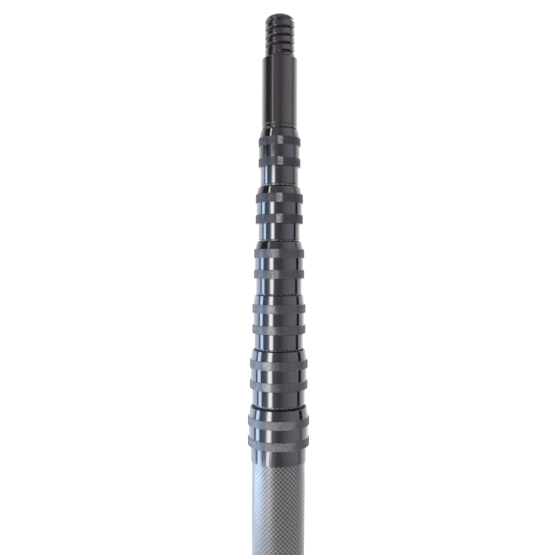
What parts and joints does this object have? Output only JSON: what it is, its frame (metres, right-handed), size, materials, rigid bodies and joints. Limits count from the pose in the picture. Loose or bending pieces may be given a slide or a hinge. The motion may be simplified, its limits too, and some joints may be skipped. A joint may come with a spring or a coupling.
{
  "type": "boom pole",
  "caption": "Telescopic carbon boom pole, pushed together: nested tubes with knurled twist-lock collars, a coarse-threaded tip and a rubber foot.",
  "frame": {"origin": "middle of the rubber foot's underside, on the pole's axis", "axes": "+Z along the pole towards the threaded tip; X and Y across it"},
  "size_m": [0.0392, 0.0392, 0.718],
  "materials": {
    "carbon_weave": "woven carbon fibre under clear gloss lacquer",
    "polished_black": "polished black anodised aluminium",
    "collar_black": "black anodised aluminium, polished with two matte knurled rings",
    "tip_black": "gloss black anodised aluminium",
    "base_black": "black anodised aluminium, turned",
    "collet_plastic": "moulded black acetal",
    "bush_plastic": "moulded black nylon",
    "band_plastic": "white slippery tape",
    "seal_rubber": "smooth black rubber",
    "foot_rubber": "moulded black rubber",
    "screw_steel": "bright zinc-plated steel"
  },
  "bodies": {
    "section_1": {"tube_1": "carbon_weave", "ferrule_1": "polished_black", "ferrule_seal_1": "seal_rubber", "rubber_foot": "foot_rubber", "foot_washer": "screw_steel", "foot_screw": "screw_steel", "base_cap": "base_black", "base_seal": "seal_rubber", "base_plug": "base_black", "landing_pad": "seal_rubber"},
    "section_2": {"tube_2": "carbon_weave", "guide_bush_2": "bush_plastic", "glide_band_2": "band_plastic", "ferrule_2": "polished_black", "ferrule_seal_2": "seal_rubber"},
    "section_3": {"tube_3": "carbon_weave", "guide_bush_3": "bush_plastic", "glide_band_3": "band_plastic", "ferrule_3": "polished_black", "ferrule_seal_3": "seal_rubber"},
    "section_4": {"tube_4": "carbon_weave", "guide_bush_4": "bush_plastic", "glide_band_4": "band_plastic", "ferrule_4": "polished_black", "ferrule_seal_4": "seal_rubber"},
    "section_5": {"tube_5": "carbon_weave", "guide_bush_5": "bush_plastic", "glide_band_5": "band_plastic", "ferrule_5": "polished_black", "ferrule_seal_5": "seal_rubber"},
    "section_6": {"tube_6": "carbon_weave", "guide_bush_6": "bush_plastic", "glide_band_6": "band_plastic", "ferrule_6": "polished_black", "ferrule_seal_6": "seal_rubber"},
    "section_7": {"tube_7": "carbon_weave", "guide_bush_7": "bush_plastic", "glide_band_7": "band_plastic", "tip_ring": "tip_black", "tip_fitting": "tip_black"},
    "collet_1": {"collet_1": "collet_plastic"},
    "collar_1": {"lock_collar_1": "collar_black"},
    "collet_2": {"collet_2": "collet_plastic"},
    "collar_2": {"lock_collar_2": "collar_black"},
    "collet_3": {"collet_3": "collet_plastic"},
    "collar_3": {"lock_collar_3": "collar_black"},
    "collet_4": {"collet_4": "collet_plastic"},
    "collar_4": {"lock_collar_4": "collar_black"},
    "collet_5": {"collet_5": "collet_plastic"},
    "collar_5": {"lock_collar_5": "collar_black"},
    "collet_6": {"collet_6": "collet_plastic"},
    "collar_6": {"lock_collar_6": "collar_black"}
  },
  "joints": [
    {"name": "section_2_slide", "type": "slide", "parent": "section_1", "child": "section_2", "axis": [0, 0, 1], "range_m": [0, 0.3408]},
    {"name": "collet_1_lift", "type": "slide", "parent": "section_1", "child": "collet_1", "axis": [0, 0, 1], "range_m": [0, 0.0003127]},
    {"name": "collar_1_turn", "type": "hinge", "parent": "collet_1", "child": "collar_1", "pos_m": [0, 0, 0.44465], "axis": [0, 0, 1], "range_deg": [0, 150]},
    {"name": "section_3_slide", "type": "slide", "parent": "section_2", "child": "section_3", "axis": [0, 0, 1], "range_m": [0, 0.36545]},
    {"name": "collet_2_lift", "type": "slide", "parent": "section_2", "child": "collet_2", "axis": [0, 0, 1], "range_m": [0, 0.0003127]},
    {"name": "collar_2_turn", "type": "hinge", "parent": "collet_2", "child": "collar_2", "pos_m": [0, 0, 0.4806], "axis": [0, 0, 1], "range_deg": [0, 150]},
    {"name": "section_4_slide", "type": "slide", "parent": "section_3", "child": "section_4", "axis": [0, 0, 1], "range_m": [0, 0.38885]},
    {"name": "collet_3_lift", "type": "slide", "parent": "section_3", "child": "collet_3", "axis": [0, 0, 1], "range_m": [0, 0.0003127]},
    {"name": "collar_3_turn", "type": "hinge", "parent": "collet_3", "child": "collar_3", "pos_m": [0, 0, 0.5153], "axis": [0, 0, 1], "range_deg": [0, 150]},
    {"name": "section_5_slide", "type": "slide", "parent": "section_4", "child": "section_5", "axis": [0, 0, 1], "range_m": [0, 0.41215]},
    {"name": "collet_4_lift", "type": "slide", "parent": "section_4", "child": "collet_4", "axis": [0, 0, 1], "range_m": [0, 0.0003127]},
    {"name": "collar_4_turn", "type": "hinge", "parent": "collet_4", "child": "collar_4", "pos_m": [0, 0, 0.5499], "axis": [0, 0, 1], "range_deg": [0, 150]},
    {"name": "section_6_slide", "type": "slide", "parent": "section_5", "child": "section_6", "axis": [0, 0, 1], "range_m": [0, 0.43535]},
    {"name": "collet_5_lift", "type": "slide", "parent": "section_5", "child": "collet_5", "axis": [0, 0, 1], "range_m": [0, 0.0003127]},
    {"name": "collar_5_turn", "type": "hinge", "parent": "collet_5", "child": "collar_5", "pos_m": [0, 0, 0.5844], "axis": [0, 0, 1], "range_deg": [0, 150]},
    {"name": "section_7_slide", "type": "slide", "parent": "section_6", "child": "section_7", "axis": [0, 0, 1], "range_m": [0, 0.46005]},
    {"name": "collet_6_lift", "type": "slide", "parent": "section_6", "child": "collet_6", "axis": [0, 0, 1], "range_m": [0, 0.0003127]},
    {"name": "collar_6_turn", "type": "hinge", "parent": "collet_6", "child": "collar_6", "pos_m": [0, 0, 0.6204], "axis": [0, 0, 1], "range_deg": [0, 150]}
  ],
  "couplings": [
    {"joint": "collet_1_lift", "follows": "collar_1_turn", "m_per_rad": 0.00011937},
    {"joint": "collet_2_lift", "follows": "collar_2_turn", "m_per_rad": 0.00011937},
    {"joint": "collet_3_lift", "follows": "collar_3_turn", "m_per_rad": 0.00011937},
    {"joint": "collet_4_lift", "follows": "collar_4_turn", "m_per_rad": 0.00011937},
    {"joint": "collet_5_lift", "follows": "collar_5_turn", "m_per_rad": 0.00011937},
    {"joint": "collet_6_lift", "follows": "collar_6_turn", "m_per_rad": 0.00011937}
  ]
}
